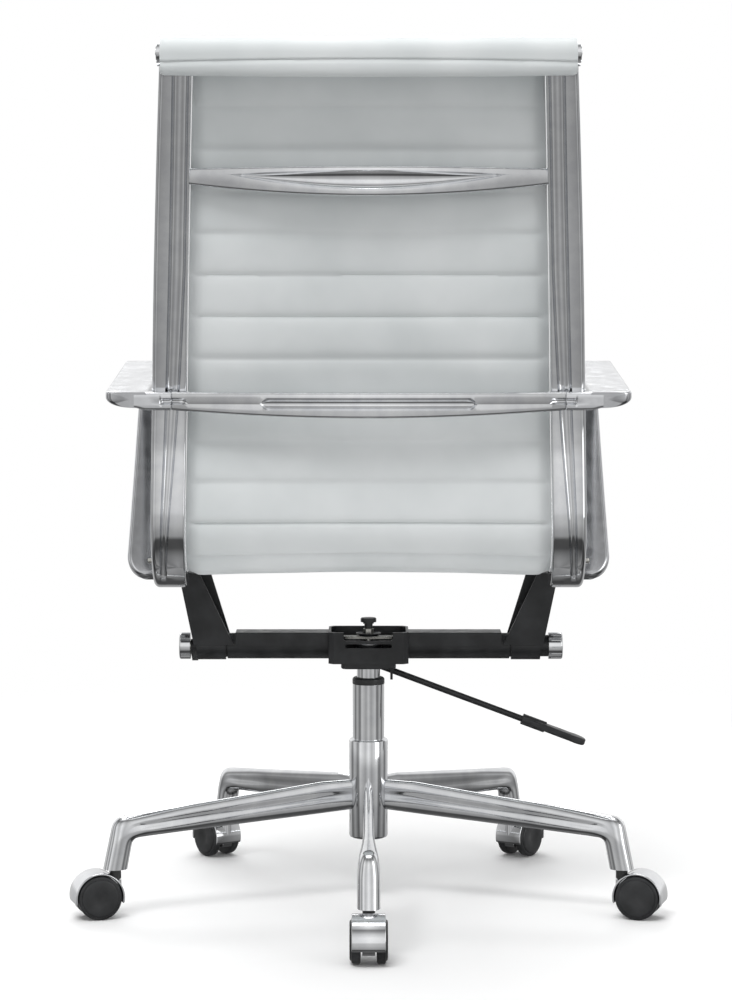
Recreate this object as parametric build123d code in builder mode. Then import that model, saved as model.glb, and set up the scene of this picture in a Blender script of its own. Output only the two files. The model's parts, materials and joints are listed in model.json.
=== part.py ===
from build123d import *
import math
import os

# Swivel office chair with a sling of padded leather between two cast side rails.
# Millimetres. +Z up, the origin is the swivel axis on the floor, +Y is the rear and -Y the sitter's front.
# Left and right are the sitter's: left is +X and right, the side of the height lever, is -X.

# ---------------------------------------------------------------- driving dimensions
LEG_COUNT = 5
STEM_RADIUS = 315.0  # swivel axis to caster stem
HUB_LOW = 76.5
HUB_TOP = 197.0
HUB_R = 23.3
SOCKET_LOW = 58.0  # underside of a leg's end, where the caster stem enters

STAND_R = 19.0
STAND_LOW = 80.0
STAND_TOP = 264.0
STAND_WALL = 2.5
BUSH_TOP = 272.0
TUBE_R = 14.0  # gas spring pressure tube
TUBE_LOW = 95.0
TUBE_TOP = 313.0
ROD_R = 5.0
LIFT_STROKE = 100.0

WHEEL_R = 26.0
WHEEL_IN = 8.75  # inner face of a wheel from the caster's mid plane
WHEEL_OUT = 19.25
WHEEL_DOME = 2.0
CASTER_TRAIL = 22.0
HOOD_R = 29.5
HOOD_WALL = 2.2
HOOD_HALF = 18.9
WEB_HALF = 7.3
AXLE_R = 3.0
STEM_R = 5.0

TILT_Z = 310.0  # height of the tilt axis, which runs along X through the swivel axis
TORSION_R = 15.5
TORSION_END = 203.7
HOUSING_X = 48.0
HOUSING_Y = 35.0
HOUSING_LOW = 292.0
HOUSING_TOP = 330.0
SHEET = 3.0  # steel sheet of the housing and the yokes

RAIL_DEPTH = 24.0
SLING_NEAR = 4.0  # sling's rear face, ahead of the rail's centreline
SLING_FAR = 14.0  # sling's front face
ROLL_R = 17.5  # leather roll round each bar
BAR_R = 14.5
# The bars at the top of the back and the front of the seat: centre y and z, where the bar's shoulder
# meets the rail's eye, where the eye ends, and where the leather roll ends, all from the middle of the chair.
BARS = {
    "top_bar": (303.0, 1000.0, 192.0, 226.5, 227.0),
    "front_bar": (-292.0, 441.0, 209.5, 246.5, 247.0),
}

SOCKET_R = STEM_R + 0.5
SOCKET_DEPTH = 28.0
NECK_LOW = 45.9  # black neck of the caster stem, between the hood and the leg
NECK_R = 7.0
STEM_PIN_LENGTH = 16.0
BOSS_LOW = 24.0
WEB_DROP = 12.0  # how far the hood's web reaches below the axle
HOOD_LIP_ANGLE = 14.0  # how far below the axle the hood's lips come round
AXLE_HALF = 17.5

BUSH_LOW = 180.0
BEARING_LOW = STAND_LOW + 3.0
BEARING_HEIGHT = 7.0
BEARING_R = 14.0
ROD_LOW = 76.0
BORE_R = 11.5
CONE_LOW = 283.0
CONE_TOP_R = 13.2
VALVE_LOW = 299.0
VALVE_R = 4.0
VALVE_TOP = 318.7

PLATE_LOW = 285.0
SOCKET_TUBE_R = 16.0
SOCKET_TUBE_TOP = 312.0
HOUSING_BOLTS = [(28, 20), (-28, 20), (28, -4), (-28, -4)]
HOUSING_BOLT_R = 2.5

TORSION_BORE = 11.5
JOURNAL_START = 170.0
JOURNAL_R = 13.5
BEAM_END = 160.0
BAR_SHAFT_R = 6.5
LEFT_BAR_END = 225.0
RIGHT_BAR_END = 230.0
YOKE_HALF = 19.0
YOKE_PLATE_X = 204.0
BUSH_R = 14.5
RING_START = 172.0
SLEEVE_START = 60.0
SLEEVE_LENGTH = 100.0
BAR_START = 52.0
RING_R = 16.6
PAD_Z = 400.0  # flat underside of the rail's pad, where the yoke is screwed on
YOKE_SCREW_X = 217.5
YOKE_SCREW_Y = (-11.0, 11.0)
YOKE_SCREW_R = 3.0
YOKE_SCREW_LENGTH = 14.0
CAP_R = 16.0
COLLAR_R = 13.0  # collar of the right yoke, which spaces the tension knob
COLLAR_LENGTH = 10.0
LEFT_CAP_X = (215.0, 228.0)
RIGHT_CAP_X = (217.3, 234.0)
TILT_LOCK_X = (207.5, 214.5)

LEVER_Y = -21.0  # the lever passes in front of the gas spring
LEVER_SLOPE = 20.6
GUIDE_X = -28.0  # guide tab in which the lever rocks
LEVER_PIVOT_Z = 277.4
LEVER_ROD_R = 3.75
LEVER_ROD_END = -212.0
PADDLE_START = -187.0
SLOT_X = (-22.0, 8.0)
SLOT_WIDTH = 9.8
ROCKER_Z = 319.0
RELEASE_BOLT_R = 3.0

RAIL_FILLET = 8.0
GROOVE_DEPTH = 5.0
GROOVE_FRONT_Y = 140.0
BAR_END_R = 9.0
BAR_CAP_R = 15.0
SLING_MARGIN = 0.5
BAND_HALF = 225.0
SPREADER_HALF = 210.5
WING_Y = 210.5  # face of the arm's wing and the lower spreader against the rear of the rails
WING_TOP = 626.5
WING_LOW = 606.0
ARM_SEAM_X = 222.0
ARM_INNER = 250.0
ARM_OUTER = 296.5
FOOT_Z = 413.0
FOOT_R = 11.0
ARM_SCREW_R = 3.0
ARM_SCREW_X = 209.9  # inner face of the rail

RUNNING = 0.05  # radial clearance of a pin that turns or slides in its hole
GAP = 0.3  # clearance between pieces that pass each other
SIDES = (1, -1)

# Rail centreline seen from the side, as (y, z) corners with a radius at each inner one.
RAIL_CORNERS = [
    (-292, 441),
    (-254, 458),
    (-40, 421),
    (204, 400),
    (196.5, 598),
    (246, 850),
    (281, 988),
    (303, 1000),
]
RAIL_RADII = [32, 900, 76, 420, 1500, 22]

# Rail edges seen from behind, as (x, z) on the left side: low, middle and high points of an arc.
RAIL_OUTER = [(248.2, 390), (244.0, 660), (228.0, 1020)]
RAIL_INNER = [(210.5, 390), (205.0, 660), (192.5, 1020)]

os.makedirs("parts", exist_ok=True)


def write(piece, label):
    """Label a finished piece and write it as a STEP file of that name."""
    piece.part.label = label
    export_step(piece.part, f"parts/{label}.step")


def radial(angle, radius, height=0.0):
    """Plane whose X points outward from the swivel axis and whose Y points up."""
    turn = math.radians(angle)
    origin = (radius * math.cos(turn), radius * math.sin(turn), height)
    return Plane(origin=origin, x_dir=(math.cos(turn), math.sin(turn), 0), z_dir=(math.sin(turn), -math.cos(turn), 0))


def side_plane(x):
    """Plane across the chair at x: its own X runs along the row's Y and its own Y along Z."""
    return Plane(origin=(x, 0, 0), x_dir=(0, 1, 0), z_dir=(1, 0, 0))


def rear_plane(y):
    """Plane seen from the front at y: its own X is the row's X, its own Y is Z, and it faces -Y."""
    return Plane(origin=(0, y, 0), x_dir=(1, 0, 0), z_dir=(0, -1, 0))


def rear_arc(points, side):
    """Arc through three (x, z) points, mirrored to the given side."""
    low, middle, high = [(side * x, z) for x, z in points]
    return ThreePointArc(low, middle, high)


LEG_ANGLES = [90 + 360 / LEG_COUNT * i for i in range(LEG_COUNT)]


def disc(plane, outer, inner=0.0):
    """Round or ring-shaped face on a plane, ready to extrude."""
    with BuildSketch(plane) as face:
        Circle(outer)
        if inner:
            Circle(inner, mode=Mode.SUBTRACT)
    return face.sketch


def cross_plane(x, y=0.0, z=TILT_Z):
    """Plane across the chair at x whose origin is the given axis point."""
    return Plane(origin=(x, y, z), x_dir=(0, 1, 0), z_dir=(1, 0, 0))


def edges_over(piece, length):
    """Edges of a piece that are longer than a length."""
    return [edge for edge in piece.edges() if edge.length > length]


# ---------------------------------------------------------------- five-leg base
def make_star_base():
    leg_end_r = 13.0
    with BuildPart() as leg:
        with BuildSketch(radial(0, 0)):
            with BuildLine():
                FilletPolyline(
                    (15, 148), (60, 147), (316, 118), (329, 56), (300, 56), (294, 93), (70, 108), (15, 112),
                    radius=[30, 16, 0.5, 0.5, 9, 30],
                )
                Line((15, 112), (15, 148))
            make_face()
        extrude(amount=leg_end_r + 2, both=True)
        with BuildSketch(Plane.XY):
            with BuildLine():
                Polyline((15, 6.5), (200, 7.5), (285, 10.5))
                ThreePointArc((285, 10.5), (STEM_RADIUS + leg_end_r + 1, 0), (285, -10.5))
                Polyline((285, -10.5), (200, -7.5), (15, -6.5), (15, 6.5))
            make_face()
        extrude(amount=HUB_TOP, mode=Mode.INTERSECT)
    with BuildPart() as base:
        extrude(disc(Plane.XY.offset(HUB_LOW), HUB_R), amount=HUB_TOP - HUB_LOW)
        chamfer(base.edges().group_by(Axis.Z)[0], length=3)
        fillet(base.edges().group_by(Axis.Z)[-1], radius=1)
        with PolarLocations(0, LEG_COUNT, start_angle=LEG_ANGLES[0]):
            add(leg.part)
        extrude(disc(Plane.XY.offset(HUB_LOW), STAND_R), amount=HUB_TOP - HUB_LOW, mode=Mode.SUBTRACT)
        with BuildSketch(Plane.XY.offset(SOCKET_LOW - 5)):
            with PolarLocations(STEM_RADIUS, LEG_COUNT, start_angle=LEG_ANGLES[0]):
                Circle(leg_end_r + 4)
        extrude(amount=5, mode=Mode.SUBTRACT)
        with BuildSketch(Plane.XY.offset(SOCKET_LOW)):
            with PolarLocations(STEM_RADIUS, LEG_COUNT, start_angle=LEG_ANGLES[0]):
                Circle(SOCKET_R)
        extrude(amount=SOCKET_DEPTH, mode=Mode.SUBTRACT)
    write(base, "star_base")


# ---------------------------------------------------------------- casters
def make_caster_stems():
    """Five stems, each a pin pressed in a leg's end with a collar and a lower pin that the hood turns on."""
    centres = PolarLocations(STEM_RADIUS, LEG_COUNT, start_angle=LEG_ANGLES[0])
    pins = [
        (NECK_LOW - STEM_PIN_LENGTH, STEM_PIN_LENGTH, STEM_R),
        (NECK_LOW, SOCKET_LOW - NECK_LOW, NECK_R),
        (SOCKET_LOW, SOCKET_DEPTH - 2, SOCKET_R),
    ]
    with BuildPart() as stems:
        for low, length, radius in pins:
            with BuildSketch(Plane.XY.offset(low)):
                with centres:
                    Circle(radius)
            extrude(amount=length)
        chamfer(stems.edges().group_by(Axis.Z)[-1], length=1)
    write(stems, "caster_stems")


def make_hood(name, angle):
    """Chrome hood over the wheels, with the web that carries the axle and the boss that turns on the stem."""
    middle = radial(angle, STEM_RADIUS + CASTER_TRAIL, WHEEL_R)
    stem_x = -CASTER_TRAIL
    lip = HOOD_R * math.sin(math.radians(HOOD_LIP_ANGLE))
    top = Plane(origin=radial(angle, STEM_RADIUS).origin, z_dir=(0, 0, 1))
    with BuildPart() as hood:
        with BuildSketch(middle):
            Circle(HOOD_R)
            Circle(HOOD_R - HOOD_WALL, mode=Mode.SUBTRACT)
            with Locations((0, -lip - HOOD_R)):
                Rectangle(3 * HOOD_R, 2 * HOOD_R, mode=Mode.SUBTRACT)
        extrude(amount=HOOD_HALF, both=True)
        with BuildSketch(middle):
            Circle(HOOD_R - HOOD_WALL + 0.2)
            with Locations((0, -HOOD_R - WEB_DROP)):
                Rectangle(3 * HOOD_R, 2 * HOOD_R, mode=Mode.SUBTRACT)
        extrude(amount=WEB_HALF, both=True)
        fillet(hood.edges().filter_by(GeomType.CIRCLE).filter_by(lambda e: e.radius > HOOD_R - 0.1), radius=1)
        extrude(disc(top.offset(BOSS_LOW), WEB_HALF), amount=NECK_LOW - 1 - BOSS_LOW)
        extrude(disc(top.offset(NECK_LOW - GAP * 2), NECK_R + 0.6), amount=HOOD_R, mode=Mode.SUBTRACT)
        pin_low = NECK_LOW - STEM_PIN_LENGTH - 0.5
        extrude(disc(top.offset(pin_low), STEM_R + RUNNING), amount=HOOD_R, mode=Mode.SUBTRACT)
        extrude(disc(middle, AXLE_R), amount=HOOD_R, both=True, mode=Mode.SUBTRACT)
    write(hood, name + "_hood")


def make_axle(name, angle):
    middle = radial(angle, STEM_RADIUS + CASTER_TRAIL, WHEEL_R)
    with BuildPart() as axle:
        extrude(disc(middle, AXLE_R), amount=AXLE_HALF, both=True)
        chamfer(axle.edges(), length=0.4)
    write(axle, name + "_axle")


def make_wheel(name, angle, side):
    """Nylon wheel with a raised, rounded outer face and a blind bore for the axle."""
    middle = radial(angle, STEM_RADIUS + CASTER_TRAIL, WHEEL_R)
    inner = middle.offset(side * WHEEL_IN)
    outer = middle.offset(side * WHEEL_OUT)
    with BuildPart() as wheel:
        extrude(disc(inner, WHEEL_R), amount=side * (WHEEL_OUT - WHEEL_IN))
        fillet(wheel.edges().filter_by(GeomType.CIRCLE), radius=2.4)
        extrude(disc(outer, WHEEL_R - 3.5), amount=side * WHEEL_DOME)
        face_edge = wheel.edges().filter_by(GeomType.CIRCLE).sort_by(
            lambda edge: side * (edge.arc_center - middle.origin).dot(middle.z_dir)
        )[-1]
        fillet(face_edge, radius=1.9)
        extrude(disc(inner, AXLE_R + RUNNING), amount=side * (AXLE_HALF + 0.5 - WHEEL_IN), mode=Mode.SUBTRACT)
    write(wheel, f"{name}_wheel_{'left' if side > 0 else 'right'}")


# ---------------------------------------------------------------- gas lift
def make_stand_tube():
    with BuildPart() as tube:
        extrude(disc(Plane.XY.offset(STAND_LOW), STAND_R, STAND_R - STAND_WALL), amount=STAND_TOP - STAND_LOW)
        extrude(disc(Plane.XY.offset(STAND_LOW), STAND_R - 1, ROD_R + 0.4), amount=SHEET)
    write(tube, "stand_tube")


def make_bush():
    """Plastic guide in the top of the stand tube, with the collar that shows above it."""
    with BuildPart() as bush:
        extrude(disc(Plane.XY.offset(BUSH_LOW), STAND_R - STAND_WALL, TUBE_R + RUNNING), amount=STAND_TOP - BUSH_LOW)
        extrude(disc(Plane.XY.offset(STAND_TOP), STAND_R + 0.4, TUBE_R + RUNNING), amount=BUSH_TOP - STAND_TOP)
        fillet(bush.edges().group_by(Axis.Z)[-1].sort_by(SortBy.RADIUS)[-1], radius=3)
    write(bush, "stand_tube_bush")


def make_thrust_bearing():
    with BuildPart() as bearing:
        extrude(disc(Plane.XY.offset(BEARING_LOW), BEARING_R, ROD_R + 0.5), amount=BEARING_HEIGHT)
        groove = disc(Plane.XY.offset(BEARING_LOW + 2), BEARING_R + 1, BEARING_R - 1.5)
        extrude(groove, amount=BEARING_HEIGHT - 4, mode=Mode.SUBTRACT)
    write(bearing, "thrust_bearing")


def make_piston_rod():
    """Rod that stands on the thrust bearing and carries the piston inside the pressure tube."""
    collar_low = BEARING_LOW + BEARING_HEIGHT + GAP
    piston_low = TUBE_LOW + LIFT_STROKE + 10
    with BuildPart() as rod:
        extrude(disc(Plane.XY.offset(ROD_LOW), ROD_R), amount=piston_low + 10 - ROD_LOW)
        extrude(disc(Plane.XY.offset(collar_low), 9), amount=1.6)
        extrude(disc(Plane.XY.offset(STAND_LOW - 2.3), 9), amount=2)
        extrude(disc(Plane.XY.offset(piston_low), BORE_R - 0.1), amount=8)
    write(rod, "piston_rod")


def make_pressure_tube():
    """Chrome cylinder of the gas spring, tapered at the top where it wedges in the mechanism."""
    bore_low = TUBE_LOW + 5
    with BuildPart() as tube:
        with BuildSketch(Plane.XZ):
            with BuildLine():
                Polyline(
                    (0, TUBE_LOW), (TUBE_R - 1, TUBE_LOW), (TUBE_R, TUBE_LOW + 1), (TUBE_R, CONE_LOW),
                    (CONE_TOP_R, TUBE_TOP), (0, TUBE_TOP), (0, TUBE_LOW),
                )
            make_face()
        revolve(axis=Axis.Z)
        extrude(disc(Plane.XY.offset(bore_low), BORE_R), amount=VALVE_LOW - 2 - bore_low, mode=Mode.SUBTRACT)
        extrude(disc(Plane.XY.offset(TUBE_LOW), ROD_R + RUNNING), amount=10, mode=Mode.SUBTRACT)
        extrude(disc(Plane.XY.offset(VALVE_LOW - 3), VALVE_R + RUNNING), amount=30, mode=Mode.SUBTRACT)
    write(tube, "pressure_tube")


def make_release_pin():
    with BuildPart() as pin:
        extrude(disc(Plane.XY.offset(VALVE_LOW + 1), VALVE_R), amount=VALVE_TOP - VALVE_LOW - 1)
        fillet(pin.edges().group_by(Axis.Z)[-1], radius=0.8)
    write(pin, "release_pin")


# ---------------------------------------------------------------- tilt mechanism
def housing_outline(inset):
    """Plan of the housing, a rectangle with its corners cut off."""
    with BuildSketch(Plane.XY.offset(HOUSING_LOW)) as plan:
        outline = Rectangle(2 * (HOUSING_X - inset), 2 * (HOUSING_Y - inset))
        chamfer(outline.vertices(), length=6)
    return plan.sketch


def lever_slot(plane):
    """Slot that the lever's rod rises through, in front of the gas spring."""
    with BuildSketch(plane) as slot:
        with Locations(((SLOT_X[0] + SLOT_X[1]) / 2, LEVER_Y)):
            SlotOverall(SLOT_X[1] - SLOT_X[0], SLOT_WIDTH)
    return slot.sketch


def make_housing():
    with BuildPart() as housing:
        extrude(housing_outline(0), amount=HOUSING_TOP - HOUSING_LOW)
        fillet(housing.edges().filter_by(Axis.Z), radius=1.5)
        inside = housing_outline(SHEET).moved(Location((0, 0, SHEET)))
        extrude(inside, amount=HOUSING_TOP, mode=Mode.SUBTRACT)
        with BuildSketch(rear_plane(HOUSING_Y + 1)):
            with Locations((0.5, HOUSING_TOP)):
                RectangleRounded(59, 20, 3)
            with Locations((0, 313.5)):
                SlotOverall(56, 5)
        extrude(amount=SHEET + 3, mode=Mode.SUBTRACT)
        extrude(disc(Plane.XY.offset(HOUSING_LOW), SOCKET_TUBE_R), amount=SHEET, mode=Mode.SUBTRACT)
        extrude(lever_slot(Plane.XY.offset(HOUSING_LOW)), amount=SHEET, mode=Mode.SUBTRACT)
        with BuildSketch(Plane.XY.offset(HOUSING_LOW)):
            with Locations(*HOUSING_BOLTS):
                Circle(HOUSING_BOLT_R)
        extrude(amount=SHEET, mode=Mode.SUBTRACT)
    write(housing, "mech_housing")


def make_socket_plate():
    """Plate under the housing with the tapered socket for the gas spring and the lever's guide tab."""
    with BuildPart() as plate:
        with BuildSketch(Plane.XY.offset(PLATE_LOW)):
            RectangleRounded(66, 60, 8)
        extrude(amount=HOUSING_LOW - PLATE_LOW)
        fillet(plate.edges().group_by(Axis.Z)[0], radius=2)
        extrude(disc(Plane.XY.offset(HOUSING_LOW), SOCKET_TUBE_R), amount=SOCKET_TUBE_TOP - HOUSING_LOW)
        with BuildSketch(Plane.XZ):
            with BuildLine():
                Polyline(
                    (0, CONE_LOW - 5), (TUBE_R, CONE_LOW - 5), (TUBE_R, CONE_LOW), (CONE_TOP_R, TUBE_TOP),
                    (0, TUBE_TOP), (0, CONE_LOW - 5),
                )
            make_face()
        revolve(axis=Axis.Z, mode=Mode.SUBTRACT)
        extrude(lever_slot(Plane.XY.offset(PLATE_LOW)), amount=HOUSING_LOW - PLATE_LOW, mode=Mode.SUBTRACT)
        with BuildSketch(cross_plane(GUIDE_X - SHEET / 2, LEVER_Y, LEVER_PIVOT_Z)):
            with Locations((0, -1.5)):
                RectangleRounded(14.5, 19, 2)
            with Locations((0, 0)):
                Rectangle(9.2, 11, mode=Mode.SUBTRACT)
        extrude(amount=SHEET)
        with BuildSketch(Plane.XY.offset(PLATE_LOW)):
            with Locations(*HOUSING_BOLTS):
                Circle(HOUSING_BOLT_R)
        extrude(amount=HOUSING_LOW - PLATE_LOW, mode=Mode.SUBTRACT)
    write(plate, "socket_plate")


def make_housing_bolts():
    with BuildPart() as bolts:
        with BuildSketch(Plane.XY.offset(PLATE_LOW + 1)):
            with Locations(*HOUSING_BOLTS):
                Circle(HOUSING_BOLT_R)
        extrude(amount=HOUSING_LOW + SHEET - PLATE_LOW - 1)
        with BuildSketch(Plane.XY.offset(HOUSING_LOW + SHEET)):
            with Locations(*HOUSING_BOLTS):
                RegularPolygon(4, 6)
        extrude(amount=2.8)
    write(bolts, "housing_bolts")


def make_torsion_tubes():
    """Two tubes welded to the housing, turned down at their outer ends for the yokes' bushes."""
    with BuildPart() as tubes:
        for side in SIDES:
            body = disc(cross_plane(side * HOUSING_X), TORSION_R, TORSION_BORE)
            extrude(body, amount=side * (JOURNAL_START - HOUSING_X))
            journal = disc(cross_plane(side * JOURNAL_START), JOURNAL_R, TORSION_BORE)
            extrude(journal, amount=side * (TORSION_END - JOURNAL_START))
    write(tubes, "torsion_tubes")


def make_beam_covers():
    """Two folded steel covers over the torsion tubes, between the housing and the yokes."""
    low = TILT_Z + 1.5
    high = TILT_Z + TORSION_R
    half = 19.0
    thick = 2.4
    with BuildPart() as covers:
        for side in SIDES:
            with BuildSketch(side_plane(side * HOUSING_X)):
                with BuildLine():
                    FilletPolyline(
                        (-half, low), (-half, high + thick), (half, high + thick), (half, low), radius=2.5,
                    )
                    Polyline(
                        (half, low), (half - thick, low), (half - thick, high), (thick - half, high),
                        (thick - half, low), (-half, low),
                    )
                make_face()
            extrude(amount=side * (BEAM_END - HOUSING_X))
    write(covers, "beam_covers")


def make_torsion_sleeves():
    """Rubber sleeves in the tubes that return the tilt."""
    with BuildPart() as sleeves:
        for side in SIDES:
            sleeve = disc(cross_plane(side * SLEEVE_START), TORSION_BORE, BAR_SHAFT_R + GAP)
            extrude(sleeve, amount=side * SLEEVE_LENGTH)
    write(sleeves, "torsion_sleeves")


def make_torsion_bars():
    """Two bars through the tubes, keyed in the yokes' end plates."""
    with BuildPart() as bars:
        for side, end in ((1, LEFT_BAR_END), (-1, RIGHT_BAR_END)):
            extrude(disc(cross_plane(side * BAR_START), BAR_SHAFT_R), amount=side * (end - BAR_START))
        chamfer(bars.edges().filter_by(GeomType.CIRCLE), length=0.8)
    write(bars, "torsion_bars")


def make_yoke(name, side):
    """Folded bracket that carries a side rail and turns on the end of the torsion tube."""
    top = PAD_Z
    flange = [(162, 313), (210, 313), (228, top), (203, top)]
    front_flange = [(165, 313), (210, 313), (228, top), (192, top)]
    with BuildPart() as yoke:
        for y, outline in ((YOKE_HALF, flange), (SHEET - YOKE_HALF, front_flange)):
            with BuildSketch(rear_plane(y)):
                with BuildLine():
                    Polyline(*[(side * x, z) for x, z in outline], close=True)
                make_face()
            extrude(amount=SHEET)
        with BuildSketch(rear_plane(YOKE_HALF)):
            with BuildLine():
                web = [(206.4, 320), (211.5, 320), (228, top), (224.6, top)]
                Polyline(*[(side * x, z) for x, z in web], close=True)
            make_face()
        extrude(amount=2 * YOKE_HALF)
        with BuildSketch(rear_plane(YOKE_HALF)):
            with Locations((side * 214, top - SHEET / 2)):
                Rectangle(24, SHEET)
        extrude(amount=2 * YOKE_HALF)
        extrude(disc(cross_plane(side * RING_START), RING_R), amount=side * (YOKE_PLATE_X + SHEET - RING_START))
        extrude(disc(cross_plane(side * RING_START), BUSH_R), amount=side * (YOKE_PLATE_X - RING_START), mode=Mode.SUBTRACT)
        if side < 0:
            extrude(disc(cross_plane(side * (YOKE_PLATE_X + SHEET)), COLLAR_R), amount=side * COLLAR_LENGTH)
        extrude(disc(cross_plane(side * RING_START), BAR_SHAFT_R), amount=side * 60, mode=Mode.SUBTRACT)
        with BuildSketch(Plane.XY.offset(top - 2 * SHEET)):
            with Locations(*[(side * YOKE_SCREW_X, y) for y in YOKE_SCREW_Y]):
                Circle(YOKE_SCREW_R)
        extrude(amount=2 * SHEET, mode=Mode.SUBTRACT)
    write(yoke, f"yoke_{name}")


def make_yoke_bushes():
    with BuildPart() as bushes:
        for side in SIDES:
            bush = disc(cross_plane(side * RING_START), BUSH_R, JOURNAL_R + RUNNING)
            extrude(bush, amount=side * (YOKE_PLATE_X - RING_START))
    write(bushes, "yoke_bushes")


def make_yoke_screws():
    """Four screws up through the yokes' top plates into the rails."""
    places = [(side * YOKE_SCREW_X, y) for side in SIDES for y in YOKE_SCREW_Y]
    with BuildPart() as screws:
        with BuildSketch(Plane.XY.offset(PAD_Z - SHEET)):
            with Locations(*places):
                Circle(YOKE_SCREW_R)
        extrude(amount=YOKE_SCREW_LENGTH + SHEET)
        with BuildSketch(Plane.XY.offset(PAD_Z - SHEET - 3)):
            with Locations(*places):
                Circle(5)
        extrude(amount=3)
    write(screws, "yoke_screws")


def make_end_cap():
    """Chrome cap on the left end of the torsion bar."""
    with BuildPart() as cap:
        extrude(disc(cross_plane(LEFT_CAP_X[0]), CAP_R), amount=LEFT_CAP_X[1] - LEFT_CAP_X[0])
        fillet(cap.edges().group_by(Axis.X)[-1], radius=2)
        extrude(disc(cross_plane(LEFT_CAP_X[0]), BAR_SHAFT_R), amount=LEFT_BAR_END - LEFT_CAP_X[0], mode=Mode.SUBTRACT)
    write(cap, "end_cap")


def make_tension_knob():
    """Chrome knob on the right end of the torsion bar, turned to set the tilt tension."""
    start, end = RIGHT_CAP_X
    with BuildPart() as knob:
        extrude(disc(cross_plane(-start), CAP_R), amount=start - end)
        fillet(knob.edges().group_by(Axis.X)[0], radius=2)
        bore = RIGHT_BAR_END + GAP - start
        extrude(disc(cross_plane(-start), BAR_SHAFT_R + RUNNING), amount=-bore, mode=Mode.SUBTRACT)
        with BuildSketch(cross_plane(-end)):
            with PolarLocations(CAP_R, 12):
                Circle(0.8)
        extrude(amount=end - start - 3, mode=Mode.SUBTRACT)
    write(knob, "tension_knob")


def make_tilt_lock():
    """Short black lever on the left end of the torsion bar that locks the tilt."""
    hub_r = 8.0
    tip_y, tip_z, tip_r = -30.0, -13.0, 9.0
    with BuildPart() as lever:
        with BuildSketch(cross_plane(TILT_LOCK_X[0])):
            hub = Circle(hub_r)
            with Locations((tip_y, tip_z)):
                tip = Circle(tip_r)
            make_hull(hub.edges() + tip.edges())
            Circle(BAR_SHAFT_R + RUNNING, mode=Mode.SUBTRACT)
        extrude(amount=TILT_LOCK_X[1] - TILT_LOCK_X[0])
    write(lever, "tilt_lock_lever")


# ---------------------------------------------------------------- height lever
def lever_line(x):
    """Point on the lever's sloping line at x."""
    return (x, LEVER_Y, LEVER_PIVOT_Z + (x - GUIDE_X) * math.tan(math.radians(LEVER_SLOPE)))


def lever_plane(x):
    """Plane across the lever at x that faces its outer end."""
    slope = math.radians(LEVER_SLOPE)
    return Plane(origin=lever_line(x), x_dir=(0, 1, 0), z_dir=(-math.cos(slope), 0, -math.sin(slope)))


def make_lever_rod():
    with BuildPart() as rod:
        with BuildLine() as path:
            FilletPolyline((0, LEVER_Y, ROCKER_Z), lever_line(0), lever_line(LEVER_ROD_END), radius=10)
        with BuildSketch(Plane(origin=path.line @ 0, z_dir=path.line % 0)):
            Circle(LEVER_ROD_R)
        sweep()
    write(rod, "lever_rod")


def make_lever_paddle():
    """Plastic grip: a sleeve over the rod that flattens into a paddle."""
    sleeve_length = 30.0
    paddle_length = 82.0
    paddle_half = 12.0
    start = lever_plane(PADDLE_START)
    flat = Plane(origin=start.origin, x_dir=start.z_dir, z_dir=start.z_dir.cross(Vector(0, 1, 0)))
    with BuildPart() as paddle:
        with BuildSketch(flat):
            with BuildLine():
                Polyline((12, -6), (0, -6), (0, 6), (12, 6))
                Spline((12, 6), (34, paddle_half - 1), (62, paddle_half - 0.5))
                ThreePointArc((62, paddle_half - 0.5), (paddle_length, 0), (62, 0.5 - paddle_half))
                Spline((62, 0.5 - paddle_half), (34, 1 - paddle_half), (12, -6))
            make_face()
        extrude(amount=4.2, both=True)
        fillet(edges_over(paddle, 15), radius=2.5)
        extrude(disc(start, 6.7), amount=sleeve_length)
        extrude(disc(start, LEVER_ROD_R), amount=rod_depth(), mode=Mode.SUBTRACT)
    write(paddle, "lever_paddle")


def rod_depth():
    """How far the rod reaches into the grip."""
    return (PADDLE_START - LEVER_ROD_END) / math.cos(math.radians(LEVER_SLOPE))


def make_release_rocker():
    """Bright plate at the top of the lever's rod that presses the gas spring's pin."""
    with BuildPart() as rocker:
        with BuildSketch(Plane.XY.offset(ROCKER_Z)):
            RectangleRounded(60, 14, 2)
            with Locations((0, LEVER_Y / 2 - 2)):
                RectangleRounded(16, -LEVER_Y + 5, 2)
        extrude(amount=SHEET)
        extrude(disc(Plane.XY.offset(ROCKER_Z), RELEASE_BOLT_R), amount=SHEET, mode=Mode.SUBTRACT)
    write(rocker, "release_rocker")


def make_release_bolt():
    with BuildPart() as bolt:
        extrude(disc(Plane.XY.offset(ROCKER_Z), RELEASE_BOLT_R), amount=18)
        extrude(disc(Plane.XY.offset(331), 5), amount=6)
        with BuildSketch(Plane.XY.offset(337)):
            Circle(6.5)
        extrude(amount=2)
        extrude(disc(Plane.XY.offset(339), 9.5), amount=5)
        fillet(bolt.edges().group_by(Axis.Z)[-1], radius=1.5)
    write(bolt, "release_bolt")


def make_release_nut():
    with BuildPart() as nut:
        with BuildSketch(Plane.XY.offset(ROCKER_Z + SHEET + 2)):
            RegularPolygon(6.6, 6)
            Circle(RELEASE_BOLT_R, mode=Mode.SUBTRACT)
        extrude(amount=7)
    write(nut, "release_nut")


def make_release_washer():
    """Dished washer under the nut."""
    low = ROCKER_Z + SHEET
    with BuildPart() as washer:
        with BuildSketch(Plane.XZ):
            with BuildLine():
                Polyline(
                    (RELEASE_BOLT_R, low), (11, low), (15, low + 3), (15, low + 4), (10.5, low + 2),
                    (RELEASE_BOLT_R, low + 2), (RELEASE_BOLT_R, low),
                )
            make_face()
        revolve(axis=Axis.Z)
    write(washer, "release_washer")


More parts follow.
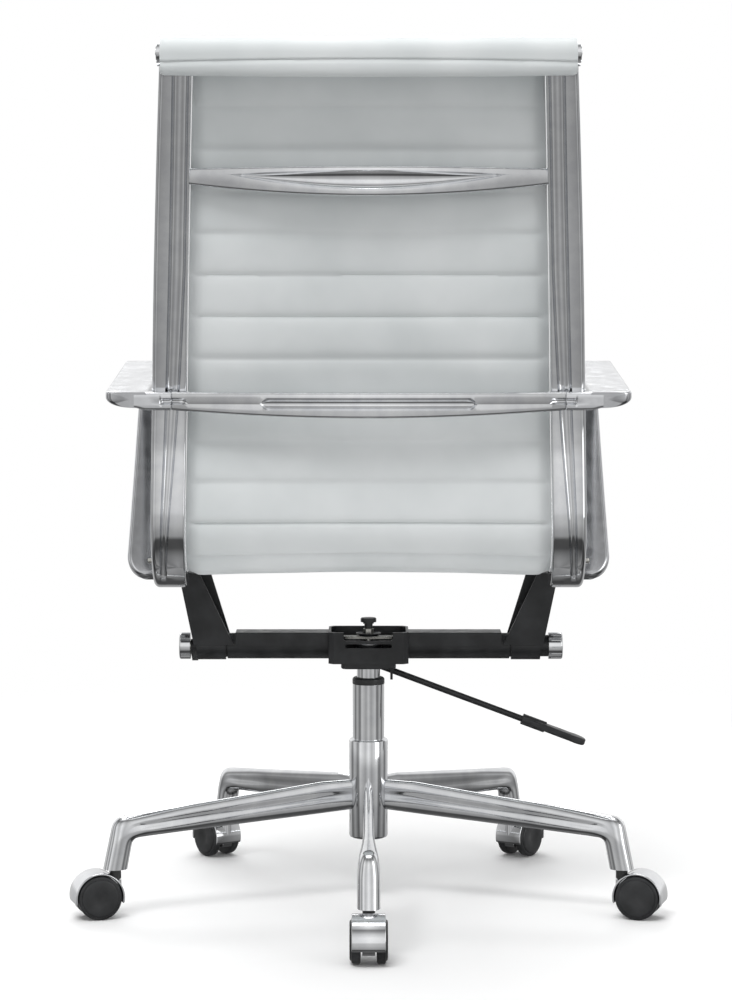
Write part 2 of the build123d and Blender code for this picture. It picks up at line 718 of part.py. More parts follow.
# ---------------------------------------------------------------- seat frame
def rail_band(x, near, far):
    """Side view of a band that follows the rail, between two distances ahead of its centreline."""
    with BuildLine(Plane.XY) as centre:
        FilletPolyline(*RAIL_CORNERS, radius=RAIL_RADII)
    line = centre.wire()
    if near + far:
        line = line.offset_2d((near + far) / 2, side=Side.LEFT, closed=False)
    with BuildSketch(side_plane(x)) as band:
        trace(line.edges(), line_width=far - near)
    return band.sketch


def front_band(side, grow):
    """Front view of a side rail, made wider by grow on each side."""
    outer = [(x + grow, z) for x, z in RAIL_OUTER]
    inner = [(x - grow, z) for x, z in RAIL_INNER]
    with BuildSketch(rear_plane(0)) as band:
        with BuildLine():
            first = rear_arc(outer, side)
            second = rear_arc(inner, side)
            Line(first @ 0, second @ 0)
            Line(first @ 1, second @ 1)
        make_face()
    return band.sketch


def groove_outline(side):
    """Rear view of the groove along a side rail, wide at the top and ending in a round pocket in the bend."""
    outer = [(213.5, 985), (219.7, 787), (226.2, 634), (232.0, 500), (234.0, 440)]
    inner = [(197.5, 985), (203.5, 787), (212.0, 695), (219.0, 634), (223.5, 560), (223.0, 490), (218.0, 440)]
    with BuildSketch(rear_plane(GROOVE_FRONT_Y)) as outline:
        with BuildLine():
            first = Spline(*[(side * x, z) for x, z in outer])
            second = Spline(*[(side * x, z) for x, z in inner])
            Line(first @ 0, second @ 0)
            ThreePointArc(first @ 1, (side * 226, 406), second @ 1)
        make_face()
    return outline.sketch


def make_rail(name, side):
    """Cast side rail that runs under the seat, round the back bend and up to the top roll."""
    half = RAIL_DEPTH / 2
    with BuildPart() as groove:
        extrude(rail_band(side * 180, -half - 4, GROOVE_DEPTH - half), amount=side * 80)
        extrude(groove_outline(side), amount=-250, mode=Mode.INTERSECT)
    with BuildPart() as rail:
        extrude(rail_band(side * 180, -half, half), amount=side * 80)
        extrude(front_band(side, 0), amount=400, both=True, mode=Mode.INTERSECT)
        fillet(edges_over(rail, 30), radius=RAIL_FILLET)
        add(groove.part, mode=Mode.SUBTRACT)
        for y, z, shoulder, eye_end, roll_end in BARS.values():
            beyond = disc(cross_plane(side * (roll_end - 0.3), y, z), ROLL_R)
            extrude(beyond, amount=side * 10, mode=Mode.SUBTRACT)
            eye = disc(cross_plane(side * (shoulder + 0.5), y, z), BAR_R)
            extrude(eye, amount=side * (eye_end - shoulder - 0.5))
            extrude(disc(cross_plane(side * 180, y, z), BAR_END_R), amount=side * 80, mode=Mode.SUBTRACT)
        with BuildSketch(Plane.XY.offset(PAD_Z)):
            with Locations((side * 224, 0)):
                RectangleRounded(24, 38, 3)
        extrude(amount=14)
        extrude(disc(cross_plane(side * 200, 0, FOOT_Z), ARM_SCREW_R), amount=side * 60, mode=Mode.SUBTRACT)
        with BuildSketch(Plane.XY.offset(PAD_Z)):
            with Locations(*[(side * YOKE_SCREW_X, y) for y in YOKE_SCREW_Y]):
                Circle(YOKE_SCREW_R)
        extrude(amount=YOKE_SCREW_LENGTH, mode=Mode.SUBTRACT)
    write(rail, f"side_rail_{name}")


def bow(low, half, end_y, middle_y, width):
    """Plan, at a height, of a bar that bows to the rear between the rails."""
    with BuildSketch(Plane.XY.offset(low)) as plan:
        with BuildLine() as line:
            ThreePointArc((-half, end_y), (0, middle_y), (half, end_y))
        trace(line.edges(), line_width=width)
    return plan.sketch


def make_upper_spreader():
    """Leaf-shaped cross piece between the rails, bowed to the rear, with a long scooped recess."""
    half, low, height = 200.0, 830.0, 70.0
    end_y, middle_y, thick = 253.5, 268.5, 11.0
    scoop_depth = 3.0
    with BuildPart() as scoop:
        extrude(bow(low, half, end_y + thick / 2, middle_y + thick / 2, 2 * scoop_depth), amount=height)
        with BuildSketch(rear_plane(200)):
            with BuildLine():
                ThreePointArc((-155, 869), (0, 873.5), (155, 869))
                ThreePointArc((-155, 869), (0, 852), (155, 869))
            make_face()
        extrude(amount=-100, mode=Mode.INTERSECT)
    with BuildPart() as spreader:
        extrude(bow(low, half, end_y, middle_y, thick), amount=height)
        with BuildSketch(rear_plane(200)):
            with BuildLine():
                top = ThreePointArc((-half, 876), (0, 878.5), (half, 876))
                bottom = ThreePointArc((-half, 858), (0, 845), (half, 858))
                Line(top @ 0, bottom @ 0)
                Line(top @ 1, bottom @ 1)
            make_face()
        extrude(amount=-100, mode=Mode.INTERSECT)
        fillet(edges_over(spreader, 100), radius=3)
        add(scoop.part, mode=Mode.SUBTRACT)
    write(spreader, "upper_spreader")


def make_lower_spreader():
    """Cross piece behind the rails that meets the two arms."""
    half = ARM_SEAM_X - 0.2
    with BuildPart() as spreader:
        extrude(bow(590, half, WING_Y + 8, WING_Y + 22, 13), amount=50)
        with BuildSketch(rear_plane(180)):
            with BuildLine():
                top = Line((-half, WING_TOP), (half, WING_TOP))
                low = ThreePointArc((-half, WING_LOW), (0, 597), (half, WING_LOW))
                Line(top @ 0, low @ 0)
                Line(top @ 1, low @ 1)
            make_face()
        extrude(amount=-100, mode=Mode.INTERSECT)
        fillet(edges_over(spreader, 100), radius=3.5)
        with BuildSketch(rear_plane(WING_Y + 21)):
            with Locations((0, 613)):
                SlotOverall(240, 14)
        extrude(amount=-20, mode=Mode.SUBTRACT)
    write(spreader, "lower_spreader")


def make_seat_spreader():
    """Cross member under the front of the seat."""
    with BuildPart() as spreader:
        with BuildSketch(side_plane(-SPREADER_HALF)):
            with Locations((-110, 427.5)):
                RectangleRounded(34, 12, 5)
        extrude(amount=2 * SPREADER_HALF)
    write(spreader, "seat_spreader")


def make_arms():
    """Cast arm loops: a flat top that wraps behind the rail, and a strut down to a foot on the seat rail."""
    with BuildPart() as arm:
        with BuildSketch(side_plane(ARM_SEAM_X)):
            with BuildLine() as loop:
                FilletPolyline((WING_Y + 18.5, WING_TOP - 9), (-132, 648), (0, 396), radius=36)
            trace(loop.edges(), line_width=18)
        extrude(amount=80)
        with BuildSketch(rear_plane(0)):
            with BuildLine():
                Polyline((ARM_SEAM_X, WING_LOW), (ARM_SEAM_X, 670), (ARM_OUTER, 670), (ARM_OUTER, 620))
                shoulder = ThreePointArc((ARM_OUTER, 620), (ARM_OUTER - 5, 608), (ARM_OUTER - 13, 598))
                strut = Spline(shoulder @ 1, (286, 540), (289, 450), (292, 418))
                foot = ThreePointArc(strut @ 1, (285, 399), (268, 393))
                Polyline(foot @ 1, (ARM_INNER, 393), (ARM_INNER, WING_LOW), (ARM_SEAM_X, WING_LOW))
            make_face()
        extrude(amount=400, both=True, mode=Mode.INTERSECT)
        with BuildSketch(Plane.XY.offset(560)):
            with Locations(((ARM_SEAM_X + ARM_INNER - 10) / 2, WING_Y - 200)):
                Rectangle(ARM_INNER - ARM_SEAM_X + 10, 400)
        extrude(amount=150, mode=Mode.SUBTRACT)
        with BuildSketch(Plane.XY.offset(FOOT_Z - 40)):
            with Locations((ARM_OUTER - 50, WING_Y + 19 - 200)):
                RectangleRounded(100, 400, 12)
        extrude(amount=300, mode=Mode.INTERSECT)
        extrude(disc(cross_plane(ARM_INNER - 2.5, 0, FOOT_Z), FOOT_R), amount=14)
        extrude(disc(cross_plane(240, 0, FOOT_Z), ARM_SCREW_R), amount=30, mode=Mode.SUBTRACT)
    write(arm, "arm_left")
    with BuildPart() as right:
        mirror(arm.part, about=Plane.YZ)
    write(right, "arm_right")


def make_arm_screws():
    """Screws from inside each rail into the foot of the arm."""
    with BuildPart() as screws:
        for side in SIDES:
            extrude(disc(cross_plane(side * ARM_SCREW_X, 0, FOOT_Z), ARM_SCREW_R), amount=side * 56)
            extrude(disc(cross_plane(side * ARM_SCREW_X, 0, FOOT_Z), 5), amount=-4 * side)
    write(screws, "arm_screws")


def make_bar(name):
    """Bar inside a leather roll, turned down at its ends for the eyes of the rails."""
    y, z, shoulder, eye_end, _ = BARS[name]
    with BuildPart() as bar:
        extrude(disc(cross_plane(-shoulder, y, z), BAR_R), amount=2 * shoulder)
        extrude(disc(cross_plane(-eye_end, y, z), BAR_END_R), amount=2 * eye_end)
    write(bar, name)


def make_bar_caps():
    """Domed chrome caps on the ends of the two bars, each with its screw."""
    with BuildPart() as caps:
        for side in SIDES:
            for y, z, *_, roll_end in BARS.values():
                extrude(disc(cross_plane(side * roll_end, y, z), BAR_CAP_R), amount=side * 3.5)
                extrude(disc(cross_plane(side * (roll_end + 3.5), y, z), BAR_CAP_R - 4), amount=side)
                extrude(disc(cross_plane(side * (roll_end + 4.5), y, z), 4), amount=side)
    write(caps, "bar_caps")


def make_sling():
    """One piece of padded leather: seat and back between the rails, and a roll round each bar."""
    half = RAIL_DEPTH / 2 + 0.6
    top_y, top_z, *_, top_end = BARS["top_bar"]
    with BuildPart() as pocket:
        for side in SIDES:
            extrude(rail_band(side * 180, -half, half), amount=side * 80)
        with BuildSketch(rear_plane(0)):
            for side in SIDES:
                add(front_band(side, SLING_MARGIN))
        extrude(amount=400, both=True, mode=Mode.INTERSECT)
    with BuildPart() as sling:
        extrude(rail_band(-BAND_HALF, SLING_NEAR, SLING_FAR), amount=2 * BAND_HALF)
        with BuildSketch(rear_plane(0)):
            with BuildLine():
                inner = [(x - SLING_MARGIN, z) for x, z in RAIL_INNER]
                left = rear_arc(inner, 1)
                right = rear_arc(inner, -1)
                Line(left @ 0, right @ 0)
                Line(left @ 1, right @ 1)
            make_face()
        extrude(amount=400, both=True, mode=Mode.INTERSECT)
        for y, z, *_, roll_end in BARS.values():
            extrude(disc(cross_plane(-roll_end, y, z), ROLL_R), amount=2 * roll_end)
        with BuildSketch(side_plane(-top_end)):
            with BuildLine():
                Polyline(
                    (top_y, top_z - 10), (top_y - 11, top_z - 29), (top_y - 7, top_z - 30),
                    (top_y + 12, top_z - 12), (top_y, top_z - 10),
                )
            make_face()
        extrude(amount=2 * top_end)
        add(pocket.part, mode=Mode.SUBTRACT)
        for y, z, *_, roll_end in BARS.values():
            hollow = disc(cross_plane(-roll_end, y, z), BAR_R + GAP)
            extrude(hollow, amount=2 * roll_end, mode=Mode.SUBTRACT)
    write(sling, "sling")


# ---------------------------------------------------------------- every piece
make_star_base()
make_caster_stems()
for number, angle in enumerate(LEG_ANGLES, 1):
    caster = f"caster_{number}"
    make_hood(caster, angle)
    make_axle(caster, angle)
    make_wheel(caster, angle, 1)
    make_wheel(caster, angle, -1)

make_stand_tube()
make_bush()
make_thrust_bearing()
make_piston_rod()
make_pressure_tube()
make_release_pin()

make_housing()
make_socket_plate()
make_housing_bolts()
make_yoke_screws()
make_end_cap()
make_tension_knob()
make_tilt_lock()
make_torsion_tubes()
make_beam_covers()
make_torsion_sleeves()
make_torsion_bars()
make_yoke_bushes()

make_lever_rod()
make_lever_paddle()
make_release_rocker()
make_release_bolt()
make_release_nut()
make_release_washer()

for side_name, side_sign in (("left", 1), ("right", -1)):
    make_yoke(side_name, side_sign)
    make_rail(side_name, side_sign)

make_upper_spreader()
make_lower_spreader()
make_seat_spreader()
make_arms()
make_arm_screws()
for bar_name in BARS:
    make_bar(bar_name)
make_bar_caps()
make_sling()
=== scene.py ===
import bpy
import bmesh
import json
import math
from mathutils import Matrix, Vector


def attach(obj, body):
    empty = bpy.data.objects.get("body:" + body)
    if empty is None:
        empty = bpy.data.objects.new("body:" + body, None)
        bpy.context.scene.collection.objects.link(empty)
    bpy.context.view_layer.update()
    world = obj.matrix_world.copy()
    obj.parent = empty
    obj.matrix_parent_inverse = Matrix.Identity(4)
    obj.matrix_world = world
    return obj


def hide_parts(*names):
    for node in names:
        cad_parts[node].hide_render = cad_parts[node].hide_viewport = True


# Swivel office chair. +Z is up, +Y the rear and +X the sitter's left. The scene is in metres; shapes are
# given in millimetres and scaled by MM.
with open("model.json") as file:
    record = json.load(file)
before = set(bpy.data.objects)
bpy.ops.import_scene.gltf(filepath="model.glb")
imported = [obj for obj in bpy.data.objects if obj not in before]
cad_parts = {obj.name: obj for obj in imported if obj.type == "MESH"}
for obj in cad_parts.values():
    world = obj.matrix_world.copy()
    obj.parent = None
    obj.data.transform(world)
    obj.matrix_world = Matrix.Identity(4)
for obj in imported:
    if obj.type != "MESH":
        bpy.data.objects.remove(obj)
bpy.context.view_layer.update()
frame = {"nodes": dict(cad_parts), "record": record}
NODES = frame["nodes"]
MM = 0.001
CORNER_STEPS = 6
MIN_BEND_STEPS = 6
MERGE_DISTANCE = 1e-6


# ---------------------------------------------------------------- mesh helpers
def smoothstep(value, low, high):
    t = min(max((value - low) / (high - low), 0.0), 1.0)
    return t * t * (3 - 2 * t)


def mix(a, b, t):
    return a + (b - a) * t


def arc_value(points, z):
    """Width at z of an arc through three (x, z) points, as a parabola through them."""
    total = 0.0
    for i, (xi, zi) in enumerate(points):
        term = xi
        for j, (_, zj) in enumerate(points):
            if i != j:
                term *= (z - zj) / (zi - zj)
        total += term
    return total


def rounded_path(corners, radii, step):
    """Points along a polyline whose inner corners are rounded, about one step apart."""
    corners = [Vector(c) for c in corners]
    points = [corners[0]]
    for before, corner, after, radius in zip(corners, corners[1:], corners[2:], radii):
        into = (corner - before).normalized()
        out = (after - corner).normalized()
        turn = into.angle(out)
        cut = radius * math.tan(turn / 2)
        start = corner - into * cut
        bisector = (out - into).normalized()
        centre = corner + bisector * (radius / math.cos(turn / 2))
        count = max(MIN_BEND_STEPS, int(radius * turn / step))
        first = start - centre
        sign = 1 if into.x * out.y - into.y * out.x > 0 else -1
        for i in range(count + 1):
            a = sign * turn * i / count
            cos, sin = math.cos(a), math.sin(a)
            points.append(centre + Vector((first.x * cos - first.y * sin, first.x * sin + first.y * cos)))
    points.append(corners[-1])
    return resample(points, step)


def resample(points, step):
    """The same path with evenly spaced points."""
    lengths = [0.0]
    for a, b in zip(points, points[1:]):
        lengths.append(lengths[-1] + (b - a).length)
    count = max(2, round(lengths[-1] / step))
    result, at = [], 0
    for i in range(count + 1):
        want = lengths[-1] * i / count
        while at < len(points) - 2 and lengths[at + 1] < want:
            at += 1
        span = lengths[at + 1] - lengths[at]
        result.append(points[at].lerp(points[at + 1], (want - lengths[at]) / span if span else 0.0))
    return result


def tangents(points):
    last = len(points) - 1
    return [(points[min(i + 1, last)] - points[max(i - 1, 0)]).normalized() for i in range(last + 1)]


def finish_mesh(name, bm, sharp=35.0):
    """Object from a bmesh in metres, with outward normals and smooth faces."""
    bmesh.ops.remove_doubles(bm, verts=bm.verts, dist=MERGE_DISTANCE)
    bmesh.ops.recalc_face_normals(bm, faces=bm.faces)
    mesh = bpy.data.meshes.new(name)
    bm.to_mesh(mesh)
    bm.free()
    mesh.polygons.foreach_set("use_smooth", [True] * len(mesh.polygons))
    mesh.set_sharp_from_angle(angle=math.radians(sharp))
    piece = bpy.data.objects.new(name, mesh)
    bpy.context.scene.collection.objects.link(piece)
    return piece


def add_loft(bm, rings):
    """Quads between rings of points in millimetres, closed at both ends."""
    made = [[bm.verts.new(Vector(p) * MM) for p in ring] for ring in rings]
    size = len(made[0])
    for a, b in zip(made, made[1:]):
        for i in range(size):
            j = (i + 1) % size
            bm.faces.new((a[i], a[j], b[j], b[i]))
    for ring in (made[0], made[-1]):
        centre = bm.verts.new(sum((v.co for v in ring), Vector()) / size)
        for i in range(size):
            bm.faces.new((ring[i], ring[(i + 1) % size], centre))


def add_lathe(bm, profile, origin, axis, segments=64):
    """Solid of revolution: (along, radius) points in millimetres about an axis."""
    axis = Vector(axis).normalized()
    side = axis.orthogonal().normalized()
    other = axis.cross(side)
    rings = []
    for along, radius in profile:
        turns = [2 * math.pi * i / segments for i in range(segments)]
        rings.append([
            Vector(origin) + axis * along + (side * math.cos(t) + other * math.sin(t)) * radius for t in turns
        ])
    add_loft(bm, rings)


def corner_points(cx, cy, radius, start):
    """Quarter circle of a rounded corner, from the start angle in degrees."""
    angles = [math.radians(start + 90 * i / CORNER_STEPS) for i in range(CORNER_STEPS + 1)]
    return [(cx + radius * math.cos(a), cy + radius * math.sin(a)) for a in angles]


def rounded_section(low, high, near, far, radius):
    """Rounded rectangle: (across, depth) points, anticlockwise."""
    r = min(radius, (high - low) / 2 - 0.1, (far - near) / 2 - 0.1)
    return (
        corner_points(high - r, far - r, r, 0)
        + corner_points(low + r, far - r, r, 90)
        + corner_points(low + r, near + r, r, 180)
        + corner_points(high - r, near + r, r, 270)
    )


# ---------------------------------------------------------------- materials
def new_material(name):
    material = bpy.data.materials.new(name)
    material.use_nodes = True
    nodes, links = material.node_tree.nodes, material.node_tree.links
    shader = nodes["Principled BSDF"]
    coordinates = nodes.new("ShaderNodeTexCoord").outputs["Object"]
    return material, nodes, links, shader, coordinates


def noise(nodes, links, coordinates, scale, detail=3.0):
    texture = nodes.new("ShaderNodeTexNoise")
    texture.inputs["Scale"].default_value = scale
    texture.inputs["Detail"].default_value = detail
    links.new(coordinates, texture.inputs["Vector"])
    return texture.outputs["Fac"]


def ranged(nodes, links, value, low, high):
    """A texture value mapped to a range."""
    spread = nodes.new("ShaderNodeMapRange")
    spread.inputs["From Min"].default_value = 0.3
    spread.inputs["From Max"].default_value = 0.7
    spread.inputs["To Min"].default_value = low
    spread.inputs["To Max"].default_value = high
    links.new(value, spread.inputs["Value"])
    return spread.outputs["Result"]


def tint(nodes, links, value, dark, light, socket):
    ramp = nodes.new("ShaderNodeValToRGB")
    ramp.color_ramp.elements[0].position = 0.35
    ramp.color_ramp.elements[1].position = 0.65
    ramp.color_ramp.elements[0].color = (*dark, 1)
    ramp.color_ramp.elements[1].color = (*light, 1)
    links.new(value, ramp.inputs["Fac"])
    links.new(ramp.outputs["Color"], socket)


def bump(nodes, links, height, distance, strength, shader, after=None):
    relief = nodes.new("ShaderNodeBump")
    relief.inputs["Distance"].default_value = distance
    relief.inputs["Strength"].default_value = strength
    links.new(height, relief.inputs["Height"])
    if after:
        links.new(after, relief.inputs["Normal"])
    links.new(relief.outputs["Normal"], shader.inputs["Normal"])
    return relief.outputs["Normal"]


def metal(name, dark, light, rough, waviness):
    """Metal with handling marks in its roughness and a faint waviness from casting or polishing."""
    material, nodes, links, shader, where = new_material(name)
    shader.inputs["Metallic"].default_value = 1.0
    marks = noise(nodes, links, where, scale=55, detail=5)
    tint(nodes, links, marks, dark, light, shader.inputs["Base Color"])
    links.new(ranged(nodes, links, marks, *rough), shader.inputs["Roughness"])
    waves = noise(nodes, links, where, scale=30, detail=1)
    bump(nodes, links, waves, distance=0.4 * MM, strength=waviness, shader=shader)
    return material


def coated(name, dark, light, rough, grain, depth):
    """Paint, plastic or rubber with a fine moulded or sprayed texture."""
    material, nodes, links, shader, where = new_material(name)
    tone = noise(nodes, links, where, scale=40, detail=4)
    tint(nodes, links, tone, dark, light, shader.inputs["Base Color"])
    wear = noise(nodes, links, where, scale=90, detail=4)
    links.new(ranged(nodes, links, wear, *rough), shader.inputs["Roughness"])
    bump(nodes, links, noise(nodes, links, where, grain, detail=2), depth, strength=0.5, shader=shader)
    return material


def leather():
    """White leather: pebbled grain about a millimetre across, soft creases and a slightly uneven tone."""
    material, nodes, links, shader, where = new_material("white_leather")
    tone = noise(nodes, links, where, scale=9, detail=3)
    tint(nodes, links, tone, (0.60, 0.63, 0.635), (0.68, 0.705, 0.71), shader.inputs["Base Color"])
    wear = noise(nodes, links, where, scale=120, detail=4)
    links.new(ranged(nodes, links, wear, 0.36, 0.5), shader.inputs["Roughness"])
    shader.inputs["Sheen Weight"].default_value = 0.1
    cells = nodes.new("ShaderNodeTexVoronoi")
    cells.feature = "DISTANCE_TO_EDGE"
    cells.inputs["Scale"].default_value = 900
    links.new(where, cells.inputs["Vector"])
    folds = noise(nodes, links, where, scale=14, detail=3)
    creases = bump(nodes, links, folds, distance=1.2 * MM, strength=0.35, shader=shader)
    grain = cells.outputs["Distance"]
    bump(nodes, links, grain, distance=0.12 * MM, strength=0.35, shader=shader, after=creases)
    return material


# Each metal: darkest and lightest colour, range of roughness, strength of its waviness.
METALS = {
    "polished_aluminium": ((0.74, 0.75, 0.77), (0.82, 0.83, 0.84), (0.05, 0.11), 0.05),
    "satin_aluminium": ((0.70, 0.71, 0.73), (0.78, 0.79, 0.81), (0.13, 0.2), 0.04),
    "chrome": ((0.76, 0.77, 0.79), (0.84, 0.85, 0.86), (0.04, 0.09), 0.03),
    "zinc_steel": ((0.5, 0.5, 0.47), (0.62, 0.61, 0.57), (0.22, 0.36), 0.06),
}
# Each coating: darkest and lightest colour, range of roughness, scale of its grain and the grain's depth.
COATINGS = {
    "black_steel": ((0.008, 0.009, 0.01), (0.02, 0.021, 0.023), (0.3, 0.42), 700, 0.08 * MM),
    "black_plastic": ((0.014, 0.015, 0.016), (0.03, 0.031, 0.033), (0.36, 0.5), 1400, 0.06 * MM),
    "dark_steel": ((0.02, 0.02, 0.02), (0.05, 0.05, 0.05), (0.4, 0.55), 500, 0.06 * MM),
    "nylon": ((0.66, 0.65, 0.6), (0.76, 0.75, 0.7), (0.35, 0.5), 600, 0.04 * MM),
    "rubber": ((0.012, 0.012, 0.012), (0.026, 0.026, 0.026), (0.6, 0.75), 600, 0.1 * MM),
}
MATERIALS = {name: metal(name, *values) for name, values in METALS.items()}
MATERIALS["white_leather"] = leather()
MATERIALS.update({name: coated(name, *values) for name, values in COATINGS.items()})
WELD_DISTANCE = 0.01 * MM
EDGE_ROUNDING = 0.35 * MM
EDGE_ANGLE = 32


def dress(piece, body, slot, *nodes, look=None):
    """Gives a piece its body and material (the slot's, or the look's where one is given), and hides the CAD
    nodes that it stands for.
    """
    piece.data.materials.clear()
    piece.data.materials.append(MATERIALS[look or slot])
    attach(piece, body)
    if nodes:
        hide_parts(*nodes)
    return piece


def dress_cad_nodes():
    """Every carried-over CAD node gets its slot's material, smooth faces and softly rounded edges."""
    for entry in frame["record"]["subparts"]:
        node = NODES[entry["node"]]
        node.data.materials.clear()
        node.data.materials.append(MATERIALS[entry["material_slot"]])
        node.data.polygons.foreach_set("use_smooth", [True] * len(node.data.polygons))
        normals = node.data.attributes.get("custom_normal")
        if normals:
            node.data.attributes.remove(normals)
        weld = node.modifiers.new("weld", "WELD")
        weld.merge_threshold = WELD_DISTANCE
        edge = node.modifiers.new("soft_edges", "BEVEL")
        edge.width = EDGE_ROUNDING
        edge.segments = 2
        edge.limit_method = "ANGLE"
        edge.angle_limit = math.radians(EDGE_ANGLE)
        edge.harden_normals = True


# ---------------------------------------------------------------- camera, light and floor
CAMERA_PLACE, CAMERA_TILT = (0.003, 3.606, 0.776), 85.41
LENS, SENSOR = 108.2, 36
FLOOR_RADIUS, FADE_START, FADE_END = 3.2, 0.55, 1.9
LIGHT_TARGET = (0, 0, 0.55)
# Each light: place, size and watts. The metal doesn't mirror the key light.
LIGHTS = {
    "key": ((0.9, 2.0, 3.4), (2.0, 1.0), 62),
    "fill": ((-2.8, 2.0, 1.2), (1.6, 2.0), 14),
    "front": ((0.4, -3.0, 2.8), (2.6, 1.6), 55),
    "overhead": ((0, 0, 4.0), (2.6, 2.6), 45),
}
# Grey of the studio by height, from straight down (0) to straight up (1), and by turn round the chair.
LEVELS = [
    (0.0, 0.35), (0.1, 0.08), (0.19, 0.08), (0.23, 0.36), (0.3, 0.42), (0.38, 0.55), (0.47, 0.62),
    (0.52, 0.95), (0.68, 1.0), (0.8, 0.75), (0.86, 0.45), (0.91, 0.25), (0.96, 0.9),
]
TURNS = [
    (0.0, 0.75), (0.07, 0.12), (0.11, 1.0), (0.2, 0.9), (0.25, 0.8), (0.31, 1.0), (0.39, 0.95), (0.43, 0.12),
    (0.5, 0.75), (0.57, 0.12), (0.61, 1.0), (0.7, 0.55), (0.75, 1.0), (0.8, 0.55), (0.89, 1.0), (0.93, 0.12),
    (1.0, 0.75),
]
TURNS_SHARE = 0.85


def make_camera():
    data = bpy.data.cameras.new("camera")
    data.sensor_width = SENSOR
    data.lens = LENS
    camera = bpy.data.objects.new("camera", data)
    camera.location = CAMERA_PLACE
    camera.rotation_euler = (math.radians(CAMERA_TILT), 0, math.pi)
    bpy.context.scene.collection.objects.link(camera)
    bpy.context.scene.camera = camera


def ramp_of(nodes, links, value, stops):
    """Grey ramp through (place, grey) stops."""
    ramp = nodes.new("ShaderNodeValToRGB")
    while len(ramp.color_ramp.elements) < len(stops):
        ramp.color_ramp.elements.new(0.5)
    for element, (place, grey) in zip(ramp.color_ramp.elements, stops):
        element.position = place
        element.color = (grey, grey, grey, 1)
    links.new(value, ramp.inputs["Fac"])
    return ramp.outputs["Color"]


def make_world():
    """Studio for the metal to mirror, banded by height and by turn; the camera sees plain white."""
    world = bpy.data.worlds.new("studio")
    world.use_nodes = True
    bpy.context.scene.world = world
    nodes, links = world.node_tree.nodes, world.node_tree.links
    direction = nodes.new("ShaderNodeTexCoord").outputs["Generated"]
    split = nodes.new("ShaderNodeSeparateXYZ")
    links.new(direction, split.inputs["Vector"])
    height = nodes.new("ShaderNodeMapRange")
    height.inputs["From Min"].default_value = -1
    links.new(split.outputs["Z"], height.inputs["Value"])
    around = nodes.new("ShaderNodeTexGradient")
    around.gradient_type = "RADIAL"
    links.new(direction, around.inputs["Vector"])
    both = nodes.new("ShaderNodeMix")
    both.data_type = "RGBA"
    both.blend_type = "MULTIPLY"
    both.inputs["Factor"].default_value = TURNS_SHARE
    links.new(ramp_of(nodes, links, height.outputs["Result"], LEVELS), both.inputs["A"])
    links.new(ramp_of(nodes, links, around.outputs["Fac"], TURNS), both.inputs["B"])
    links.new(both.outputs["Result"], nodes["Background"].inputs["Color"])
    nodes["Background"].inputs["Strength"].default_value = 1.0
    plain = nodes.new("ShaderNodeBackground")
    plain.inputs["Color"].default_value = (1, 1, 1, 1)
    choice = nodes.new("ShaderNodeMixShader")
    links.new(nodes.new("ShaderNodeLightPath").outputs["Is Camera Ray"], choice.inputs["Fac"])
    links.new(nodes["Background"].outputs["Background"], choice.inputs[1])
    links.new(plain.outputs["Background"], choice.inputs[2])
    links.new(choice.outputs["Shader"], nodes["World Output"].inputs["Surface"])


def make_light(name, place, size, power):
    data = bpy.data.lights.new(name, "AREA")
    data.shape = "RECTANGLE"
    data.size, data.size_y = size
    data.energy = power
    light = bpy.data.objects.new(name, data)
    light.location = place
    aim = Vector(LIGHT_TARGET) - Vector(place)
    light.rotation_euler = aim.to_track_quat("-Z", "Y").to_euler()
    light.visible_glossy = name != "key"
    bpy.context.scene.collection.objects.link(light)


def make_stage():
    """Pale round floor that fades into the white background well away from the chair."""
    bm = bmesh.new()
    bmesh.ops.create_circle(bm, cap_ends=True, segments=96, radius=FLOOR_RADIUS)
    mesh = bpy.data.meshes.new("floor")
    bm.to_mesh(mesh)
    bm.free()
    floor = bpy.data.objects.new("floor", mesh)
    bpy.context.scene.collection.objects.link(floor)
    material, nodes, links, shader, where = new_material("pale_floor")
    shader.inputs["Base Color"].default_value = (0.96, 0.96, 0.96, 1)
    shader.inputs["Roughness"].default_value = 0.9
    shader.inputs["Specular IOR Level"].default_value = 0.0
    distance = nodes.new("ShaderNodeVectorMath")
    distance.operation = "LENGTH"
    links.new(where, distance.inputs[0])
    fade = nodes.new("ShaderNodeMapRange")
    fade.interpolation_type = "SMOOTHSTEP"
    fade.inputs["From Min"].default_value = FADE_START
    fade.inputs["From Max"].default_value = FADE_END
    fade.inputs["To Min"].default_value = 1.0
    fade.inputs["To Max"].default_value = 0.0
    links.new(distance.outputs["Value"], fade.inputs["Value"])
    links.new(fade.outputs["Result"], shader.inputs["Alpha"])
    mesh.materials.append(material)
    floor.visible_glossy = False


# ---------------------------------------------------------------- side rails
RAIL_CORNERS = [
    (-292, 441), (-254, 458), (-40, 421), (204, 400), (196.5, 598), (246, 850), (281, 988), (303, 1000),
]
RAIL_RADII = [32, 900, 76, 420, 1500, 22]
RAIL_OUTER = [(248.2, 390), (244.0, 660), (228.0, 1020)]
RAIL_INNER = [(210.5, 390), (205.0, 660), (192.5, 1020)]
RAIL_HALF = 12.0
GROOVE_OUTER = [(215.5, 985), (223.0, 787), (235.5, 500)]
GROOVE_INNER = [(194.5, 985), (203.0, 787), (223.8, 500)]
GROOVE_DEPTH = 6.5
GROOVE_STEPS = 14
GROOVE_LOW_END, GROOVE_BEND_END, GROOVE_TOP_END = (405, 440), (150, 190), (984, 988)
LEAST_DEPTH = 0.02
GROOVE_INNER_LAND, GROOVE_OUTER_LAND, GROOVE_LEAST = 2.2, 8, 4
RAIL_FRONT_CORNER, RAIL_INNER_CORNER, RAIL_OUTER_CORNER = 7, 1.8, 6
RAIL_STEP, RAIL_BEND_Z = 4.0, 400
